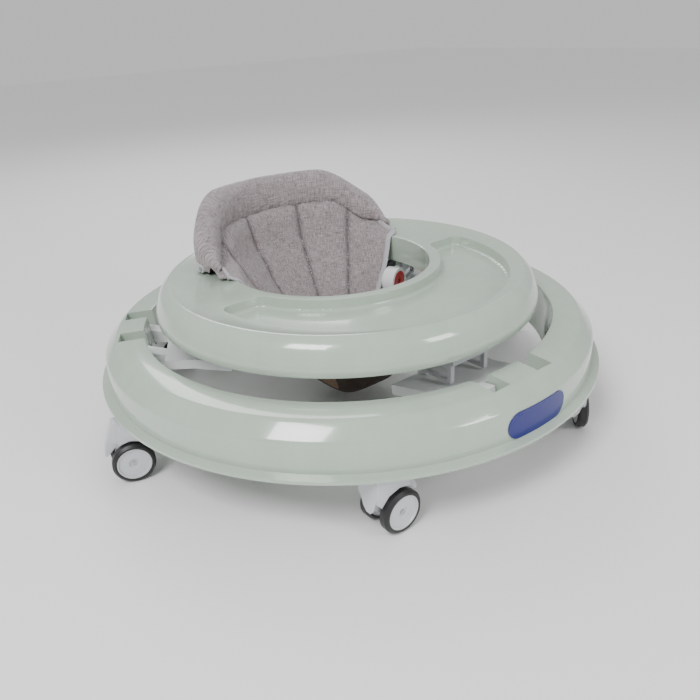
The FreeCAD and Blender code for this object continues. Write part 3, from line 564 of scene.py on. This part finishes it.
# %% [markdown]
# ## The quilted seat
# One quilted cloth starts at the seam under the roll, drops into the hole and narrows under the
# child, and a strip of it comes up again at the front. A chain of points is spun about the hole, and
# the faces over the two leg gaps are taken away. Between the sewn lines the wadding stands proud,
# and next to them the cloth puckers, so the depth at each point comes from its distance to a line.

# %% Seat shape
SEAT_CHAIN = [(168, 258), (160, 255), (154.5, 250), (152.5, 244), (151, 237), (149, 229), (146.5, 221),
              (143.5, 212), (141, 204), (134, 192), (126.5, 180), (118.5, 167), (110, 154), (101, 141),
              (92, 128), (87, 116), (84, 104), (81, 91), (77.5, 77), (74, 63)]
BASE_CHAIN = [(77.5, 77), (74, 63), (74, 55), (73.5, 45), (72.5, 38), (69, 33), (62, 30.5), (45, 29.5),
              (20, 29.5), (0, 29.5)]
SEAT_STEPS = 240
BACK_EDGE = 80.0
FRONT_EDGE = 150.0
GAP_FLOOR = 0.064
STRIP_TOP = 0.196
HALF_STRIP = 0.048
BOX_HALF_WIDTH = 0.056
BOX_HALF_DEPTH = 0.068
BOX_POWER = 4.5
LOW_RADIUS = 0.074
RIM_HEIGHT = 0.204
PILLOW_DEPTH = 0.0095
PUCKER_DEPTH = 0.0028
RIPPLE_DEPTH = 0.0032
SEAM_ANGLES = (-49.5, -18.0, 18.0, 49.5)


def blend_share(value, low, high):
    """How far value lies between low and high, held to 0..1."""
    return min(max((value - low) / (high - low), 0.0), 1.0)


def seat_middle(height):
    """The bag's middle moves forward as it goes down."""
    if height >= 0.127:
        return HOLE.y - 0.003 * blend_share(0.204 - height, 0, 0.077)
    return HOLE.y - 0.003 - 0.024 * blend_share(0.127 - height, 0, 0.067)


def boxed(angle):
    """The radius of the seat's low part, which is a rounded box and not a circle."""
    across = abs(math.sin(math.radians(angle)) / BOX_HALF_WIDTH) ** BOX_POWER
    along = abs(math.cos(math.radians(angle)) / BOX_HALF_DEPTH) ** BOX_POWER
    return (across + along) ** (-1 / BOX_POWER)


def seat_top(angle):
    """The height of the cloth's top edge, which follows the roll's seam."""
    return 0.250 - 0.027 * fall(angle, 38, 60) - 0.012 * fall(angle, 62, 80)


def quilting(angle, height):
    """How far the wadding stands in from the cloth's line at a point."""
    seam = min(abs(angle - line) for line in SEAM_ANGLES)
    rim = blend_share(BACK_EDGE - abs(angle), 0.0, 7.0)
    tuck = blend_share(seat_top(angle) - height, -0.004, 0.012)
    swell = 1.0 - math.exp(-((seam / 3.0) ** 0.85))
    near = math.exp(-((seam / 8.0) ** 2))
    pucker = PUCKER_DEPTH * near * noise.noise(Vector((angle * 0.07, height * 130, 2.0)))
    ripple = RIPPLE_DEPTH * noise.noise(Vector((angle * 0.045, height * 24 + angle * 0.05, 1.7)))
    pillow = PILLOW_DEPTH * swell * rim * (0.3 + 0.7 * tuck)
    return (pillow + pucker + ripple) * blend_share(height, 0.06, 0.08)


def seat_point(angle, away, height, depth=0.0):
    """A spun point's place on the bag, with the leg gaps' edges brought to their lines."""
    side = 1.0 if angle >= 0 else -1.0
    low = blend_share(0.118 - height, 0, 0.045)
    away += (boxed(angle) * away / LOW_RADIUS - away) * low
    open_share = blend_share(height, 0.047, 0.067)
    if abs(angle) <= BACK_EDGE + 0.1:
        away -= quilting(angle, height) - depth
        target = angle * (90.0 - 11.0 * blend_share(height, 0.062, 0.204)) / BACK_EDGE
        flare = fall(angle, 50, 62) * (1 - fall(angle, 64, 78)) * blend_share(height, 0.226, 0.250)
        away += 0.014 * flare
    else:
        front = math.degrees(math.asin(min(HALF_STRIP / away, 1.0)))
        past = (abs(angle) - FRONT_EDGE) / (180.0 - FRONT_EDGE)
        if past >= 0:
            target = side * (180.0 - front * (1 - past))
        else:
            between = (abs(angle) - BACK_EDGE) / (FRONT_EDGE - BACK_EDGE)
            target = side * (90.0 + between * (90.0 - front))
    turn = math.radians(angle + (target - angle) * open_share)
    if height > RIM_HEIGHT:
        height = RIM_HEIGHT + (height - RIM_HEIGHT) * (seat_top(angle) - RIM_HEIGHT) / 0.046
    return Vector((away * math.sin(turn), seat_middle(height) + away * math.cos(turn), height))


def spin_chain(chain):
    """A chain of (radius, height) points spun right round the hole, with a UV map in metres."""
    shape = bmesh.new()
    points = [shape.verts.new((HOLE.x, HOLE.y - away * MM, up * MM)) for away, up in chain]
    for here, there in zip(points, points[1:]):
        shape.edges.new((here, there))
    bmesh.ops.spin(shape, geom=shape.verts[:] + shape.edges[:], cent=HOLE, axis=(0, 0, 1),
                   angle=2 * math.pi, steps=SEAT_STEPS, use_merge=True)
    bmesh.ops.remove_doubles(shape, verts=shape.verts, dist=0.00002)
    layer = shape.loops.layers.uv.new("UVMap")
    for face in shape.faces:
        turn = bearing(face.calc_center_median())
        for loop in face.loops:
            spot = loop.vert.co
            own = bearing(spot)
            if abs(own - turn) > 180:
                own += 360 if turn > 0 else -360
            away = math.hypot(spot.x, spot.y - HOLE.y)
            loop[layer].uv = (math.radians(own) * 0.14, spot.z * 1.3 + away)
    return shape


def open_gaps(shape):
    """Take away the faces over the leg gaps and above the front strip."""
    gone = []
    for face in shape.faces:
        middle = face.calc_center_median()
        angle = abs(bearing(middle))
        over_gap = BACK_EDGE < angle < FRONT_EDGE and middle.z > GAP_FLOOR
        if over_gap or (angle > FRONT_EDGE and middle.z > STRIP_TOP):
            gone.append(face)
    bmesh.ops.delete(shape, geom=gone, context="FACES")


def place_on_bag(shape):
    for vert in shape.verts:
        away = math.hypot(vert.co.x, vert.co.y - HOLE.y)
        vert.co = seat_point(bearing(vert.co), away, vert.co.z)
    bmesh.ops.recalc_face_normals(shape, faces=shape.faces)


def to_mesh(shape, name):
    mesh = bpy.data.meshes.new(name)
    shape.to_mesh(mesh)
    shape.free()
    return mesh


def thicken(piece, thickness):
    """Give a cloth its thickness on the outer side, and round it off."""
    wall = piece.modifiers.new("thickness", "SOLIDIFY")
    wall.thickness = thickness
    wall.offset = -1.0
    add_subdivision(piece)
    return bake_modifiers(piece)


def blend_with_backrest(piece):
    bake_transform(piece)


def paint_seam_shade(shape):
    """A point attribute of painted shade, which darkens the cloth along the quilting lines where their
    grooves lie in shade.
    """
    layer = shape.verts.layers.float.new("painted_seam_shade")
    for vert in shape.verts:
        seam = min(abs(bearing(vert.co) - line) for line in SEAM_ANGLES)
        vert[layer] = math.exp(-((seam / 1.3) ** 2)) * blend_share(vert.co.z, 0.09, 0.12)


def make_lining():
    shape = spin_chain(SEAT_CHAIN)
    open_gaps(shape)
    paint_seam_shade(shape)
    place_on_bag(shape)
    piece = cloth_piece("quilted_lining", to_mesh(shape, "quilted_lining"), [HEATHER])
    thicken(piece, 0.003)
    blend_with_backrest(piece)
    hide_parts("seat_sling", "back_panel")
    return piece


lining = make_lining()
print("lining faces:", len(lining.data.polygons))

# %% [markdown]
# ## The seat base
# Under the child the seat is a dark, unpadded cup of strong cloth: a rounded box with a window of
# brown net in each side. It shares the lining's last rows and leg gaps, so their edges meet.

# %% Seat base


def make_base():
    shape = spin_chain(BASE_CHAIN)
    for face in shape.faces:
        middle = face.calc_center_median()
        side_panel = 84 < abs(bearing(middle)) < 131
        face.material_index = 1 if side_panel and 0.037 < middle.z < 0.060 else 0
    open_gaps(shape)
    place_on_bag(shape)
    piece = cloth_piece("seat_base_cup", to_mesh(shape, "seat_base_cup"), [SEAT_BASE, NET])
    thicken(piece, 0.0016)
    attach(piece, "tray")
    return piece


seat_base = make_base()
print("seat base faces:", len(seat_base.data.polygons))

# %% [markdown]
# ## Bindings and stitches
# A grey tape is folded over each cut edge of the lining. It is swept along the edge as a flat oval.
# The quilting thread is real geometry too: a short capsule for each stitch, lying in its groove.

# %% Bindings
TAPE_TOP = 0.2505
TAPE_WIDTH = 0.011
TAPE_THICK = 0.0042


def sweep(path, wide, thick, name, material):
    """A flat oval swept along a path of points, with its wide side facing the hole's axis."""
    shape = bmesh.new()
    last = None
    for index, spot in enumerate(path):
        ahead = path[min(index + 1, len(path) - 1)] - path[max(index - 1, 0)]
        inward = Vector((-spot.x, seat_middle(spot.z) - spot.y, 0.0))
        across = ahead.cross(inward).normalized()
        inward = across.cross(ahead).normalized()
        turn = Matrix((across, inward, ahead.normalized())).transposed().to_4x4()
        scale = Matrix.Diagonal((wide / 2, thick / 2, 1.0, 1.0))
        ring = bmesh.ops.create_circle(shape, segments=12, radius=1.0,
                                       matrix=Matrix.Translation(spot) @ turn @ scale)["verts"]
        edges = list({edge for vert in ring for edge in vert.link_edges})
        if last:
            bmesh.ops.bridge_loops(shape, edges=last + edges)
        last = edges
    bmesh.ops.holes_fill(shape, edges=[edge for edge in shape.edges if edge.is_boundary], sides=0)
    bmesh.ops.recalc_face_normals(shape, faces=shape.faces)
    mesh = to_mesh(shape, name)
    piece = cloth_piece(name, mesh, [material])
    arc_uv(mesh)
    return piece


def chain_radius(height):
    """The lining's radius at a height, read off its chain."""
    up = height / MM
    for (far, top), (near, low) in zip(SEAT_CHAIN, SEAT_CHAIN[1:]):
        if low <= up <= top:
            return (near + (far - near) * (up - low) / (top - low)) * MM
    return SEAT_CHAIN[-1][0] * MM


def make_bindings():
    pieces = []
    for side, name in ((-1, "left"), (1, "right")):
        top = [seat_point(side * (59 + step * 1.5), chain_radius(TAPE_TOP), TAPE_TOP)
               for step in range(14)]
        heights = [TAPE_TOP - step * 0.006 for step in range(31)]
        edge = [seat_point(side * BACK_EDGE, chain_radius(height), height) for height in heights]
        piece = sweep(top + edge, TAPE_WIDTH, TAPE_THICK, "edge_binding_" + name, BINDING)
        blend_with_backrest(piece)
        pieces.append(piece)
    return pieces


print(len(make_bindings()), "bindings")

# %% Stitches
STITCH_STEP = 0.0046
STITCH_LENGTH = 0.003
THREAD_RADIUS = 0.0005
THREAD_OUT = -0.0006


def make_stitches():
    """One short capsule for each stitch of the four quilting lines."""
    shape = bmesh.new()
    count = 0
    for line in SEAM_ANGLES:
        height = 0.2455
        while height > 0.10:
            ends = [seat_point(line, chain_radius(spot), spot, THREAD_OUT)
                    for spot in (height, height - STITCH_LENGTH)]
            along = ends[1] - ends[0]
            turn = along.to_track_quat("Z", "Y").to_matrix().to_4x4()
            bmesh.ops.create_cone(shape, cap_ends=True, segments=8, radius1=THREAD_RADIUS,
                                  radius2=THREAD_RADIUS, depth=along.length,
                                  matrix=Matrix.Translation((ends[0] + ends[1]) / 2) @ turn)
            count += 1
            height -= STITCH_STEP
    mesh = to_mesh(shape, "quilting_thread")
    piece = cloth_piece("quilting_thread", mesh, [BINDING])
    arc_uv(mesh)
    blend_with_backrest(piece)
    return count


print(make_stitches(), "stitches")
